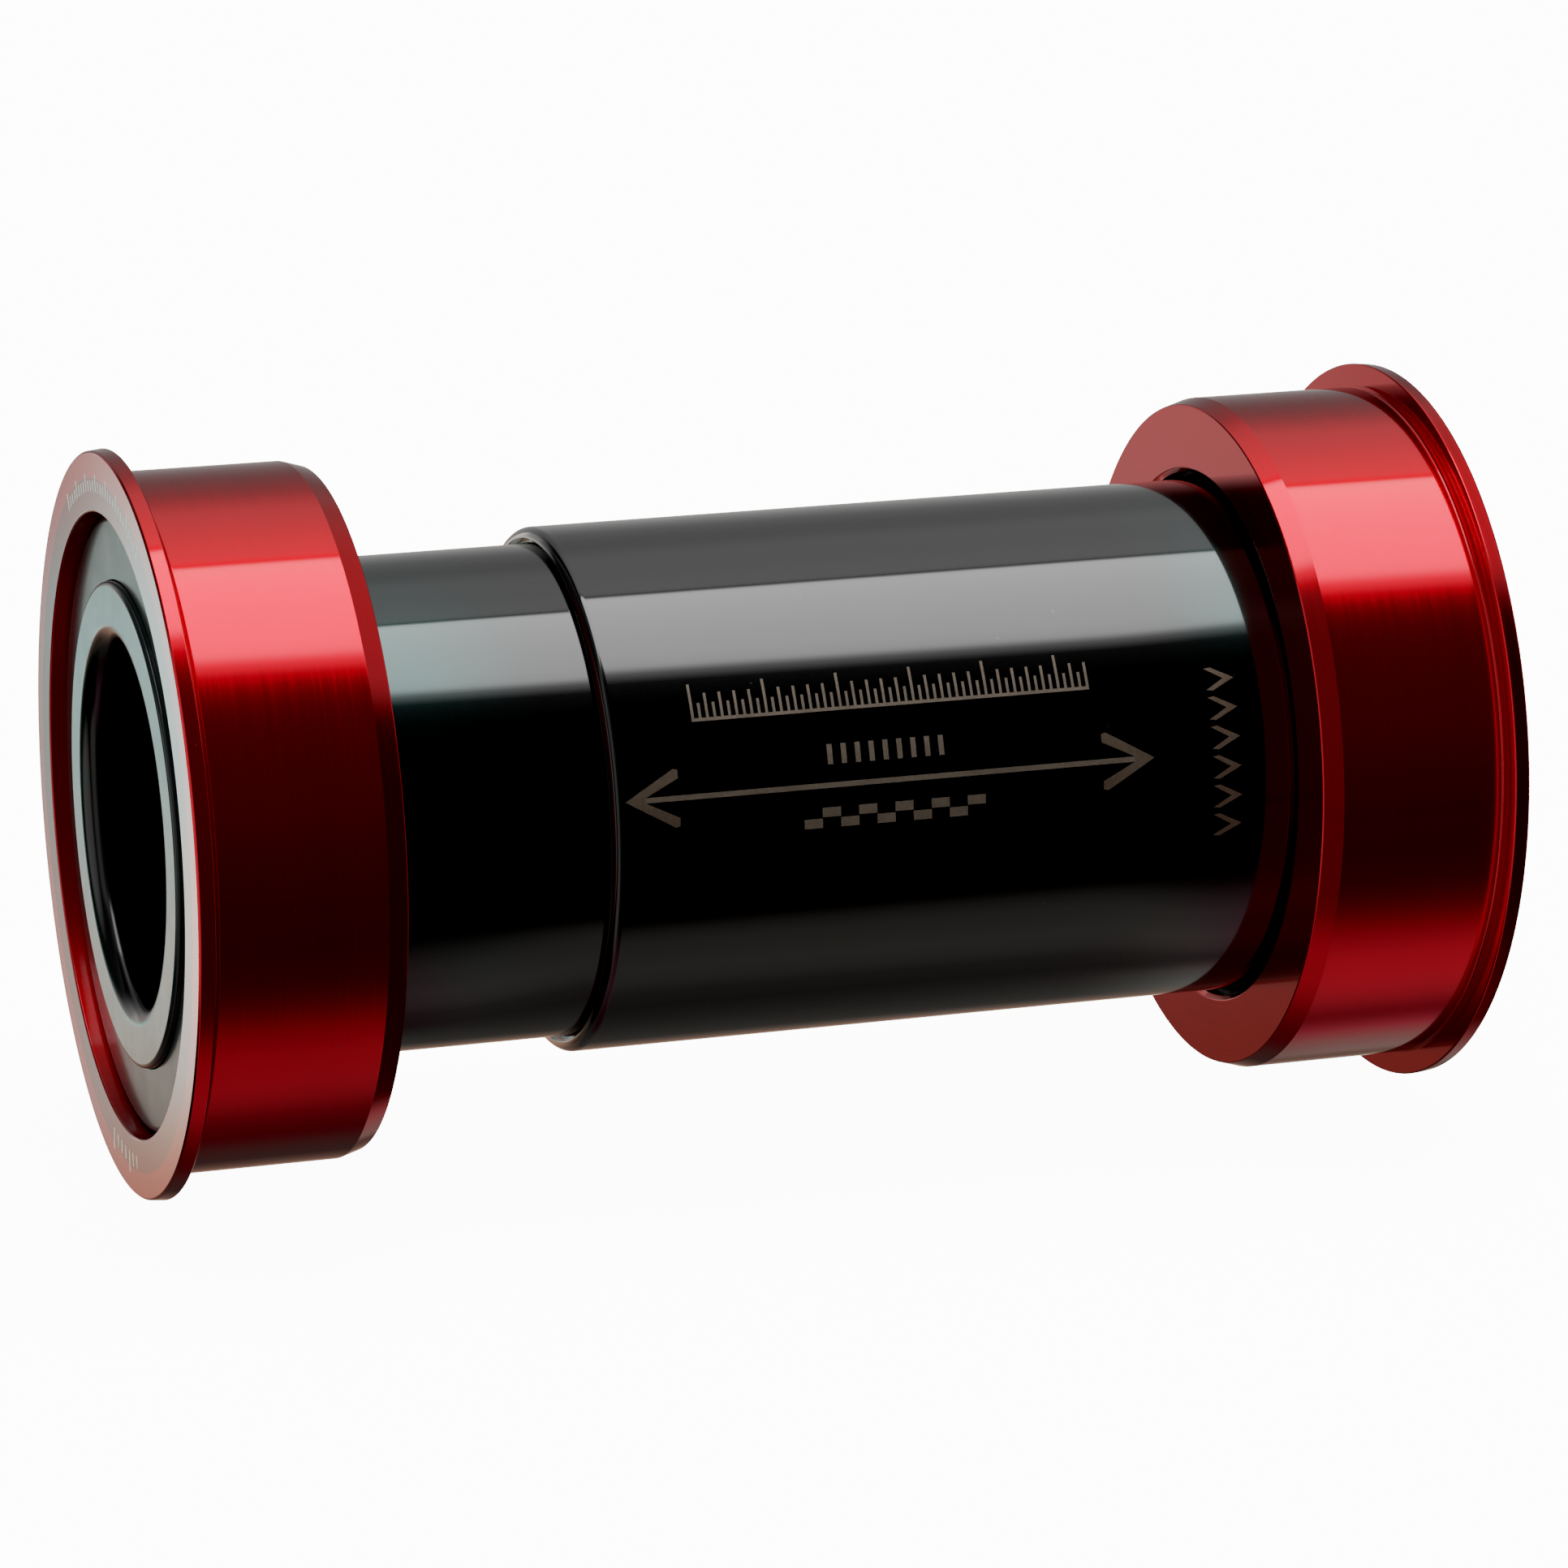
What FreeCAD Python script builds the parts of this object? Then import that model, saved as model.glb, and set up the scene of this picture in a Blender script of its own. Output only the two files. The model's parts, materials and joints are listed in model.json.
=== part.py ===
import FreeCAD, Part
import os
import Sketcher

# Press-fit bottom bracket with telescoping sleeves.
#
# Row frame: origin on the spindle axis, half way between the two flange faces.
# +Y runs along the spindle from the drive side to the non-drive side, +Z is up
# and +X points forwards.  All sizes are millimetres.
#
# Both ends are alike, so every turned piece of an end is drawn once for the
# drive side (-Y).  The non-drive side's piece is turned half a circle about Z.

doc = FreeCAD.newDocument("bottom_bracket")
sheet = doc.addObject("Spreadsheet::Sheet", "Dims")


# ---------------------------------------------------------------- dimensions

DIMENSIONS = [
    # whole assembly
    ("half_length", 44.75),             # flange face to middle of the bracket
    # cup: flange, relief groove, press-fit barrel
    ("flange_radius", 24.6),
    ("flange_thickness", 1.1),
    ("flange_bevel", 0.12),
    ("flange_taper", 0.1),              # the rim narrows towards its outer face
    ("flange_root_round", 0.3),
    ("relief_radius", 22.72),
    ("relief_end", 1.6),
    ("barrel_radius", 23.0),
    ("barrel_end", 12.55),
    ("barrel_nose_radius", 22.6),
    ("cup_depth", 13.9),
    # cup: inside
    ("bearing_seat_radius", 20.5),
    ("mouth_bevel", 0.08),
    ("bearing_outer_face", 2.3),
    ("bearing_width", 7.0),
    ("web_radius", 17.2),
    ("web_thickness", 0.5),
    ("sleeve_stop_thickness", 0.9),
    ("sleeve_recess_gap", 0.5),
    ("recess_bevel", 0.3),
    # telescoping sleeves
    ("outer_sleeve_radius", 17.5),
    ("outer_sleeve_bore", 16.45),
    ("outer_sleeve_length", 50.0),
    ("inner_sleeve_radius", 16.4),
    ("inner_sleeve_bore", 15.0),
    ("inner_sleeve_length", 50.0),
    ("sleeve_end_round", 0.65),
    ("sleeve_lead_in", 0.35),
    ("sleeve_stop_land", 0.6),
    # O-rings between cup and sleeve
    ("cup_ring_cord", 1.36),
    ("cup_ring_offset", 0.7),
    ("cup_ring_inset", 1.5),
    ("cup_ring_groove_depth", 1.4),
    ("cup_ring_groove_width", 1.6),
    # O-ring between the sleeves
    ("telescope_ring_cord", 0.74),
    ("telescope_ring_radius", 16.05),
    ("telescope_ring_inset", 2.5),
    ("telescope_groove_radius", 15.65),
    ("telescope_groove_width", 1.0),
    # bearing
    ("race_bore_radius", 15.0),
    ("inner_race_radius", 16.65),
    ("outer_race_bore", 19.35),
    ("pitch_radius", 18.0),
    ("ball_radius", 1.75),
    ("ball_count", 18),
    ("race_groove_radius", 1.8),
    ("race_bevel", 0.3),
    ("seal_seat_radius", 19.65),
    ("seal_seat_depth", 0.8),
    ("seal_inset", 0.2),
    ("seal_thickness", 0.55),
    ("seal_lip_radius", 16.7),
    ("cage_bore", 17.2),
    ("cage_radius", 18.8),
    ("cage_half_width", 2.35),
    ("cage_pocket_radius", 1.85),
    # spindle bush
    ("spindle_radius", 12.0),
    ("bush_face", 0.5),
    ("bush_flange_radius", 15.95),
    ("bush_edge_round", 0.3),
    ("bush_mouth_round", 1.2),
    ("bush_end", 9.0),
    ("bush_end_bevel", 0.3),
    # O-ring that holds the bush in the bearing
    ("bush_ring_cord", 0.82),
    ("bush_ring_radius", 14.56),
    ("bush_ring_place", 6.0),
    ("bush_groove_radius", 14.1),
    ("bush_groove_width", 1.1),
    # dust shield
    ("shield_face", 1.05),
    ("shield_back", 2.1),
    ("shield_bore", 16.0),
    ("shield_radius", 20.3),
    ("shield_round", 0.5),
]

for row, (alias, value) in enumerate(DIMENSIONS, start=1):
    sheet.set("A%d" % row, alias)
    sheet.set("B%d" % row, str(value))
    sheet.setAlias("B%d" % row, alias)
doc.recompute()


def size(alias):
    """The number that the sheet holds under a name."""
    return float(sheet.get(alias))


def cell(formula):
    """A formula of sheet names, each written with a $ in front."""
    return formula.replace("$", "Dims.")


def inward(formula):
    """A place along the spindle, given as its distance in from the flange face."""
    return "-$half_length + " + formula


# ------------------------------------------------------------- shared makers

def origin_plane(body, role):
    for feature in body.Origin.OriginFeatures:
        if feature.Role == role:
            return feature
    raise ValueError("no plane " + role)


def new_sketch(body, name):
    """A sketch on the plane of the spindle: x is radius, y is along the spindle."""
    sketch = body.newObject("Sketcher::SketchObject", name)
    sketch.AttachmentSupport = [(origin_plane(body, "XY_Plane"), "")]
    sketch.MapMode = "FlatFace"
    return sketch


def evaluate(formula):
    """Work a formula out now, so that a sketch starts at its final shape."""
    return float(sheet.evalExpression(formula.replace("$", "")))


def bind(sketch, kind, geometry, point, name, formula):
    """Hold one measure of a sketch to a formula of sheet cells."""
    place = (geometry,) if kind == "Radius" else (geometry, point)
    constraint = Sketcher.Constraint(kind, *place, evaluate(formula))
    index = sketch.addConstraint(constraint)
    sketch.renameConstraint(index, name)
    sketch.setExpression("Constraints." + name, cell(formula))


def outline(body, name, corners):
    """A closed outline of straight lines through corners of (radius, along) formulas."""
    sketch = new_sketch(body, name)
    places = [FreeCAD.Vector(evaluate(r), evaluate(y), 0) for r, y in corners]
    count = len(corners)
    for index in range(count):
        ends = places[index], places[(index + 1) % count]
        sketch.addGeometry(Part.LineSegment(*ends), False)
    for index in range(count):
        following = (index + 1) % count
        sketch.addConstraint(Sketcher.Constraint("Coincident", index, 2, following, 1))
    for index, (radius, along) in enumerate(corners):
        bind(sketch, "DistanceX", index, 1, "radius_%d" % index, radius)
        bind(sketch, "DistanceY", index, 1, "along_%d" % index, along)
    return sketch


def circle(body, name, radius, along, ring_radius):
    """A circle in the plane of the spindle, for a groove or an O-ring."""
    sketch = new_sketch(body, name)
    centre = FreeCAD.Vector(evaluate(ring_radius), evaluate(along), 0)
    normal = FreeCAD.Vector(0, 0, 1)
    sketch.addGeometry(Part.Circle(centre, normal, evaluate(radius)), False)
    bind(sketch, "DistanceX", 0, 3, "ring_radius", ring_radius)
    bind(sketch, "DistanceY", 0, 3, "along", along)
    bind(sketch, "Radius", 0, 0, "cord_radius", radius)
    return sketch


def turn(body, name, sketch, kind="PartDesign::Revolution"):
    """Turn a sketch a full circle about the spindle, adding or cutting."""
    feature = body.newObject(kind, name)
    feature.Profile = sketch
    feature.ReferenceAxis = (sketch, ["V_Axis"])
    feature.Angle = 360.0
    return feature


def turned_body(label, corners):
    body = doc.addObject("PartDesign::Body", label)
    body.Label = label
    sketch = outline(body, label + "_outline", corners)
    turn(body, label + "_turned", sketch)
    return body


def ring_body(label, cord_radius, along, ring_radius):
    """An O-ring: a circle turned about the spindle."""
    body = doc.addObject("PartDesign::Body", label)
    body.Label = label
    sketch = circle(body, label + "_cord", cord_radius, along, ring_radius)
    turn(body, label + "_turned", sketch)
    return body


def groove(body, name, sketch):
    """Cut a turned groove, and make sure that it takes something away."""
    doc.recompute()
    before = body.Shape.Volume
    turn(body, name, sketch, "PartDesign::Groove")
    doc.recompute()
    if body.Shape.Volume > before - 1e-3:
        raise ValueError("groove cuts nothing: " + name)


def rounded(body, name, radius_alias, wanted):
    """Round the circular edges at the (radius, along) places in wanted."""
    doc.recompute()
    names = []
    for index, edge in enumerate(body.Shape.Edges, start=1):
        if not isinstance(edge.Curve, Part.Circle):
            continue
        for radius, along in wanted:
            near_radius = abs(edge.Curve.Radius - evaluate(radius)) < 1e-4
            near_along = abs(edge.Curve.Center.y - evaluate(along)) < 1e-4
            if near_radius and near_along:
                names.append("Edge%d" % index)
    if len(names) != len(wanted):
        raise ValueError("edges not found for " + name)
    tip = body.Tip
    fillet = body.newObject("PartDesign::Fillet", name)
    fillet.Base = (tip, names)
    fillet.setExpression("Radius", cell("$" + radius_alias))


parts = []


def keep(piece, side):
    """Add a finished piece, turned to its own end of the bracket."""
    if side == "non_drive_side":
        half_turn = FreeCAD.Rotation(FreeCAD.Vector(0, 0, 1), 180)
        piece.Placement = FreeCAD.Placement(FreeCAD.Vector(0, 0, 0), half_turn)
    parts.append(piece)


# ------------------------------------------------------------------- the cup

def make_cup(side, sleeve_radius, stop_radius):
    """Flanged press-fit cup: bearing pocket outboard, sleeve recess inboard."""
    recess = sleeve_radius + " + $sleeve_recess_gap"
    web_start = inward("$bearing_outer_face + $bearing_width")
    web_end = web_start + " + $web_thickness"
    stop_end = web_end + " + $sleeve_stop_thickness"
    corners = [
        ("$bearing_seat_radius + $mouth_bevel", inward("0")),
        ("$flange_radius - $flange_taper - $flange_bevel", inward("0")),
        ("$flange_radius - $flange_taper", inward("$flange_bevel")),
        ("$flange_radius", inward("$flange_thickness")),
        ("$relief_radius", inward("$flange_thickness")),
        ("$relief_radius", inward("$relief_end")),
        ("$barrel_radius", inward("$relief_end")),
        ("$barrel_radius", inward("$barrel_end")),
        ("$barrel_nose_radius", inward("$cup_depth")),
        (recess + " + $recess_bevel", inward("$cup_depth")),
        (recess, inward("$cup_depth - $recess_bevel")),
        (recess, stop_end),
        (stop_radius, stop_end),
        (stop_radius, web_end),
        ("$web_radius", web_end),
        ("$web_radius", web_start),
        ("$bearing_seat_radius", web_start),
        ("$bearing_seat_radius", inward("$mouth_bevel")),
    ]
    cup = turned_body(side + "_cup", corners)
    middle = stop_end + " + $cup_ring_inset"
    low = middle + " - 0.5*$cup_ring_groove_width"
    high = middle + " + 0.5*$cup_ring_groove_width"
    bottom = sleeve_radius + " + $cup_ring_groove_depth"
    inside = sleeve_radius
    slot = outline(cup, cup.Label + "_ring_slot",
                   [(inside, low), (bottom, low), (bottom, high), (inside, high)])
    groove(cup, cup.Label + "_ring_groove", slot)
    rounded(cup, cup.Label + "_flange_root", "flange_root_round",
            [("$relief_radius", inward("$flange_thickness"))])
    keep(cup, side)
    ring = ring_body(side + "_sleeve_o_ring", "0.5*$cup_ring_cord", middle,
                     sleeve_radius + " + $cup_ring_offset")
    keep(ring, side)


# --------------------------------------------------------------- the bearing

def make_races(side):
    """Deep-groove outer and inner race, bevelled where they meet their seats."""
    front = inward("$bearing_outer_face")
    back = inward("$bearing_outer_face + $bearing_width")
    middle = inward("$bearing_outer_face + 0.5*$bearing_width")
    outer = turned_body(side + "_outer_race", [
        ("$seal_seat_radius", front),
        ("$bearing_seat_radius - $race_bevel", front),
        ("$bearing_seat_radius", front + " + $race_bevel"),
        ("$bearing_seat_radius", back + " - $race_bevel"),
        ("$bearing_seat_radius - $race_bevel", back),
        ("$seal_seat_radius", back),
        ("$seal_seat_radius", back + " - $seal_seat_depth"),
        ("$outer_race_bore", back + " - $seal_seat_depth"),
        ("$outer_race_bore", front + " + $seal_seat_depth"),
        ("$seal_seat_radius", front + " + $seal_seat_depth"),
    ])
    inner = turned_body(side + "_inner_race", [
        ("$race_bore_radius + $race_bevel", front),
        ("$inner_race_radius", front),
        ("$inner_race_radius", back),
        ("$race_bore_radius + $race_bevel", back),
        ("$race_bore_radius", back + " - $race_bevel"),
        ("$race_bore_radius", front + " + $race_bevel"),
    ])
    for race in (outer, inner):
        track = circle(race, race.Label + "_track", "$race_groove_radius",
                       middle, "$pitch_radius")
        groove(race, race.Label + "_track_groove", track)
        keep(race, side)


def make_balls(side):
    """One full row of balls, as a group of separate solids."""
    middle = cell(inward("$bearing_outer_face + 0.5*$bearing_width"))
    balls = []
    for index in range(int(size("ball_count"))):
        ball = doc.addObject("Part::Sphere", "%s_ball_%d" % (side, index))
        angle = "(%d * 360 deg / Dims.ball_count)" % index
        ball.setExpression("Radius", cell("$ball_radius"))
        ball.setExpression("Placement.Base.x", cell("$pitch_radius * sin") + angle)
        ball.setExpression("Placement.Base.y", middle)
        ball.setExpression("Placement.Base.z", cell("$pitch_radius * cos") + angle)
        balls.append(ball)
    group = doc.addObject("Part::Compound", side + "_balls")
    group.Label = side + "_balls"
    group.Links = balls
    keep(group, side)


def make_cage(side):
    """A thin ring with one round pocket for each ball."""
    middle = inward("$bearing_outer_face + 0.5*$bearing_width")
    low = middle + " - $cage_half_width"
    high = middle + " + $cage_half_width"
    cage = turned_body(side + "_cage", [
        ("$cage_bore", low),
        ("$cage_radius", low),
        ("$cage_radius", high),
        ("$cage_bore", high),
    ])
    doc.recompute()
    before = cage.Shape.Volume
    sketch = new_sketch(cage, side + "_cage_pocket_circle")
    centre = FreeCAD.Vector(0, evaluate(middle), 0)
    normal = FreeCAD.Vector(0, 0, 1)
    sketch.addGeometry(Part.Circle(centre, normal, size("cage_pocket_radius")), False)
    sketch.addConstraint(Sketcher.Constraint("PointOnObject", 0, 3, -2))
    bind(sketch, "DistanceY", 0, 3, "along", middle)
    bind(sketch, "Radius", 0, 0, "pocket_radius", "$cage_pocket_radius")
    pocket = cage.newObject("PartDesign::Pocket", side + "_cage_pocket")
    pocket.Profile = sketch
    pocket.Type = "ThroughAll"
    pocket.Reversed = True
    doc.recompute()
    one_pocket = before - cage.Shape.Volume
    pattern = cage.newObject("PartDesign::PolarPattern", side + "_cage_pockets")
    pattern.Originals = [pocket]
    pattern.Axis = (sketch, ["V_Axis"])
    pattern.Angle = 360.0
    pattern.setExpression("Occurrences", cell("$ball_count"))
    cage.Tip = pattern
    doc.recompute()
    taken = before - cage.Shape.Volume
    if one_pocket < 1e-3 or abs(taken - size("ball_count") * one_pocket) > 0.01 * taken:
        raise ValueError("the cage has lost pockets")
    keep(cage, side)


def make_seals(side):
    """A flat rubber seal in each face of the outer race."""
    front = inward("$bearing_outer_face + $seal_inset")
    back = inward("$bearing_outer_face + $bearing_width - $seal_inset")
    spans = {
        "outboard": (front, front + " + $seal_thickness"),
        "inboard": (back + " - $seal_thickness", back),
    }
    for place, (low, high) in spans.items():
        seal = turned_body("%s_%s_seal" % (side, place), [
            ("$seal_lip_radius", low),
            ("$seal_seat_radius", low),
            ("$seal_seat_radius", high),
            ("$seal_lip_radius", high),
        ])
        keep(seal, side)


# --------------------------------------------------------- bush and shield

def make_bush(side):
    """Top-hat bush that fills the bearing bore down to the spindle."""
    face = inward("$bush_face")
    front = inward("$bearing_outer_face")
    end = inward("$bush_end")
    bush = turned_body(side + "_spindle_bush", [
        ("$spindle_radius", face),
        ("$bush_flange_radius", face),
        ("$bush_flange_radius", front),
        ("$race_bore_radius", front),
        ("$race_bore_radius", end + " - $bush_end_bevel"),
        ("$race_bore_radius - $bush_end_bevel", end),
        ("$spindle_radius + $bush_end_bevel", end),
        ("$spindle_radius", end + " - $bush_end_bevel"),
    ])
    place = inward("$bush_ring_place")
    low = place + " - 0.5*$bush_groove_width"
    high = place + " + 0.5*$bush_groove_width"
    outside = "$race_bore_radius + $race_bevel"
    slot = outline(bush, bush.Label + "_ring_slot", [
        ("$bush_groove_radius", low),
        (outside, low),
        (outside, high),
        ("$bush_groove_radius", high),
    ])
    groove(bush, bush.Label + "_ring_groove", slot)
    rounded(bush, bush.Label + "_rim_round", "bush_edge_round",
            [("$bush_flange_radius", face)])
    rounded(bush, bush.Label + "_mouth_round", "bush_mouth_round",
            [("$spindle_radius", face)])
    keep(bush, side)
    ring = ring_body(side + "_bush_o_ring", "0.5*$bush_ring_cord", place,
                     "$bush_ring_radius")
    keep(ring, side)


def make_shield(side):
    """Flat dust shield round the bush, in the mouth of the cup."""
    face = inward("$shield_face")
    back = inward("$shield_back")
    shield = turned_body(side + "_dust_shield", [
        ("$shield_bore", face),
        ("$shield_radius", face),
        ("$shield_radius", back),
        ("$shield_bore", back),
    ])
    rounded(shield, shield.Label + "_rim_round", "shield_round",
            [("$shield_radius", face)])
    keep(shield, side)


# --------------------------------------------------------------- the sleeves

SLEEVE_SEAT = "$bearing_outer_face + $bearing_width + $web_thickness + $sleeve_stop_thickness"


def make_inner_sleeve():
    """Small sleeve: sits in the drive-side cup and slides in the outer sleeve."""
    start = inward(SLEEVE_SEAT)
    end = start + " + $inner_sleeve_length"
    sleeve = turned_body("inner_sleeve", [
        ("$inner_sleeve_bore", start),
        ("$inner_sleeve_radius", start),
        ("$inner_sleeve_radius", end),
        ("$inner_sleeve_bore", end),
    ])
    place = end + " - $telescope_ring_inset"
    low = place + " - 0.5*$telescope_groove_width"
    high = place + " + 0.5*$telescope_groove_width"
    slot = outline(sleeve, "inner_sleeve_ring_slot", [
        ("$telescope_groove_radius", low),
        ("$outer_sleeve_bore", low),
        ("$outer_sleeve_bore", high),
        ("$telescope_groove_radius", high),
    ])
    groove(sleeve, "inner_sleeve_ring_groove", slot)
    keep(sleeve, "drive_side")
    ring = ring_body("telescope_o_ring", "0.5*$telescope_ring_cord", place,
                     "$telescope_ring_radius")
    keep(ring, "drive_side")


def make_outer_sleeve():
    """Large sleeve: sits in the non-drive-side cup; its free end is rounded, with a lead-in."""
    start = inward(SLEEVE_SEAT)
    end = start + " + $outer_sleeve_length"
    sleeve = turned_body("outer_sleeve", [
        ("$outer_sleeve_bore", start),
        ("$outer_sleeve_radius", start),
        ("$outer_sleeve_radius", end),
        ("$outer_sleeve_bore + $sleeve_lead_in", end),
        ("$outer_sleeve_bore", end + " - $sleeve_lead_in"),
    ])
    rounded(sleeve, "outer_sleeve_end_round", "sleeve_end_round",
            [("$outer_sleeve_radius", end)])
    keep(sleeve, "non_drive_side")


# ----------------------------------------------------------------- assembly

END_FITS = {
    # sleeve that the cup takes, and the bore of the stop behind it
    "drive_side": ("$inner_sleeve_radius", "$inner_sleeve_radius - $sleeve_stop_land"),
    "non_drive_side": ("$outer_sleeve_radius", "$outer_sleeve_radius - $sleeve_stop_land"),
}

for side, (sleeve_radius, stop_radius) in END_FITS.items():
    make_cup(side, sleeve_radius, stop_radius)
    make_races(side)
    make_balls(side)
    make_cage(side)
    make_seals(side)
    make_bush(side)
    make_shield(side)
make_inner_sleeve()
make_outer_sleeve()
doc.recompute()


# ------------------------------------------------------------ check and write

for item in doc.Objects:
    if "Invalid" in item.State or "Error" in item.State:
        raise ValueError("%s did not build: %s" % (item.Name, item.State))
for piece in parts:
    if piece.Shape.isNull() or not piece.Shape.isValid():
        raise ValueError(piece.Label + " has no valid shape")

os.makedirs("parts", exist_ok=True)
for piece in parts:
    piece.Shape.exportStep(os.path.join("parts", piece.Label + ".step"))
    box = piece.Shape.BoundBox
    print("%-32s solids %2d  volume %8.1f  y %7.2f..%6.2f  r %6.3f" % (
        piece.Label, len(piece.Shape.Solids), piece.Shape.Volume,
        box.YMin, box.YMax, box.ZMax))
print("%d pieces" % len(parts))
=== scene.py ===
"""Bottom bracket: two anodised cups on a telescoping sleeve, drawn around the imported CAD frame."""
import json
import math

import bmesh
import bpy
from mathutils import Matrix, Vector


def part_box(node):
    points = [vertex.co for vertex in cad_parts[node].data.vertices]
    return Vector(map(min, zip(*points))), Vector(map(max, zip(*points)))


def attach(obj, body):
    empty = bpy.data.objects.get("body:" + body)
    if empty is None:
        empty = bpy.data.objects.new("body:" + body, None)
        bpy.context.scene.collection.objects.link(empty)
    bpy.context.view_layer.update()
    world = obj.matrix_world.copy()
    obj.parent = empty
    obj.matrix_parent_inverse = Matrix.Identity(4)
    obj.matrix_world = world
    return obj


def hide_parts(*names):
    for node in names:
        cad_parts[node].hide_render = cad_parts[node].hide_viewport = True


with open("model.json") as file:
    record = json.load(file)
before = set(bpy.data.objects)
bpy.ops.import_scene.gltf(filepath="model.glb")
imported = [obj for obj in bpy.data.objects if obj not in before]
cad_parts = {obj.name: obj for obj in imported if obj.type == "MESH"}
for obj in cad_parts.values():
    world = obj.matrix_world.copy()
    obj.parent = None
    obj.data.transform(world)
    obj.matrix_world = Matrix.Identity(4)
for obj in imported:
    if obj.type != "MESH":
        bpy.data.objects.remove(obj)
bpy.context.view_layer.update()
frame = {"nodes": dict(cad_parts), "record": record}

MM = 0.001

# ---------------------------------------------------------------- turned pieces

CUT_ANGLE = math.radians(0.37)      # the section plane stays clear of the mesh's own seams
SAME_CORNER = 0.004 * MM            # section points closer than this are one corner
STRAIGHT = math.radians(1.5)        # a smaller turn than this is a straight run
SHORT_RUN = 0.4 * MM                # a run this short, with a turn
SHALLOW = math.radians(36)          # below this, belongs to a moulded or turned round
ARC_STEP = math.radians(16)         # largest turn from one point of a round to the next
SAME_POINT = 0.0001 * MM            # outline points closer than this are one point
AROUND = 192                        # faces round the spindle


def section(node):
    """The node's outline in a plane through the spindle, as points (radius, y), anticlockwise."""
    mesh = bmesh.new()
    mesh.from_mesh(frame["nodes"][node].data)
    bmesh.ops.remove_doubles(mesh, verts=mesh.verts[:], dist=1e-7)
    corners = [(math.hypot(v.co.x, v.co.z), v.co.y) for v in mesh.verts]
    everything = mesh.verts[:] + mesh.edges[:] + mesh.faces[:]
    across = Vector((-math.sin(CUT_ANGLE), 0, math.cos(CUT_ANGLE)))
    cut = bmesh.ops.bisect_plane(mesh, geom=everything, dist=1e-9, plane_co=(0, 0, 0), plane_no=across)
    edges = [part for part in cut["geom_cut"] if isinstance(part, bmesh.types.BMEdge)]
    edges = [edge for edge in edges if edge.verts[0].co.x > 0]
    beside = {}
    for edge in edges:
        first, second = edge.verts
        beside.setdefault(first, []).append(second)
        beside.setdefault(second, []).append(first)
    start = next(iter(beside))
    loop = [start, beside[start][0]]
    while True:
        ahead = [v for v in beside[loop[-1]] if v is not loop[-2]]
        if not ahead or ahead[0] is start:
            break
        loop.append(ahead[0])
    points = [(math.hypot(v.co.x, v.co.z), v.co.y) for v in loop]
    points = without_straight_runs(points)
    points = [min(corners, key=lambda c: math.dist(c, p)) for p in points]
    mesh.free()
    if area(points) < 0:
        points.reverse()
    return without_straight_runs(points)


def area(points):
    """Signed area of a closed outline, positive when it runs anticlockwise."""
    total = 0.0
    for (r0, y0), (r1, y1) in zip(points, points[1:] + points[:1]):
        total += r0 * y1 - r1 * y0
    return total / 2


def turn_at(before, here, after):
    """Angle by which the outline turns at a point."""
    first = math.atan2(here[1] - before[1], here[0] - before[0])
    second = math.atan2(after[1] - here[1], after[0] - here[0])
    return math.remainder(second - first, math.tau)


def without_straight_runs(points):
    """The outline with the points dropped that lie on a straight run."""
    kept = []
    for point in points:
        if not kept or math.dist(kept[-1], point) > SAME_CORNER:
            kept.append(point)
    if math.dist(kept[0], kept[-1]) < SAME_CORNER:
        kept.pop()
    changed = True
    while changed:
        changed = False
        for i in range(len(kept)):
            before, here, after = kept[i - 1], kept[i], kept[(i + 1) % len(kept)]
            if abs(turn_at(before, here, after)) < STRAIGHT:
                kept.pop(i)
                changed = True
                break
    return kept


def softened(points, edge_round):
    """The outline with each corner rounded, as (point, outward normal) pairs."""
    result = []
    for i, here in enumerate(points):
        before, after = points[i - 1], points[(i + 1) % len(points)]
        run_in, run_out = math.dist(before, here), math.dist(here, after)
        turn = turn_at(before, here, after)
        reach = edge_round * math.tan(abs(turn) / 2)
        if abs(turn) < SHALLOW and min(run_in, run_out) < SHORT_RUN:
            reach = max(run_in, run_out)
        reach = min(reach, 0.5 * run_in, 0.5 * run_out)
        heading = math.atan2(here[1] - before[1], here[0] - before[0])
        radius = reach / math.tan(abs(turn) / 2)
        side = math.copysign(1.0, turn)
        start = (here[0] - reach * math.cos(heading), here[1] - reach * math.sin(heading))
        bend = side * radius
        centre = (start[0] - bend * math.sin(heading), start[1] + bend * math.cos(heading))
        steps = max(2, math.ceil(abs(turn) / ARC_STEP))
        for step in range(steps + 1):
            angle = heading + turn * step / steps
            outward = (math.sin(angle), -math.cos(angle))
            point = (centre[0] + bend * outward[0], centre[1] + bend * outward[1])
            if not result or math.dist(point, result[-1][0]) > SAME_POINT:
                result.append((point, outward))
    if math.dist(result[0][0], result[-1][0]) <= SAME_POINT:
        result.pop()
    return result


def lathe(name, outline):
    """A solid of revolution about the spindle axis, with the outline's own normals."""
    vertices, normals, faces = [], [], []
    count = len(outline)
    for i in range(AROUND):
        angle = math.tau * i / AROUND
        c, s = math.cos(angle), math.sin(angle)
        for (radius, y), (out_r, out_y) in outline:
            vertices.append((radius * c, y, radius * s))
            normals.append((out_r * c, out_y, out_r * s))
    for i in range(AROUND):
        ahead = (i + 1) % AROUND
        for j in range(count):
            k = (j + 1) % count
            faces.append((i * count + j, i * count + k, ahead * count + k, ahead * count + j))
    mesh = bpy.data.meshes.new(name)
    mesh.from_pydata(vertices, [], faces)
    mesh.shade_smooth()
    mesh.normals_split_custom_set_from_vertices(normals)
    piece = bpy.data.objects.new(name, mesh)
    bpy.context.scene.collection.objects.link(piece)
    return piece


# ---------------------------------------------------------------- materials


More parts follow.
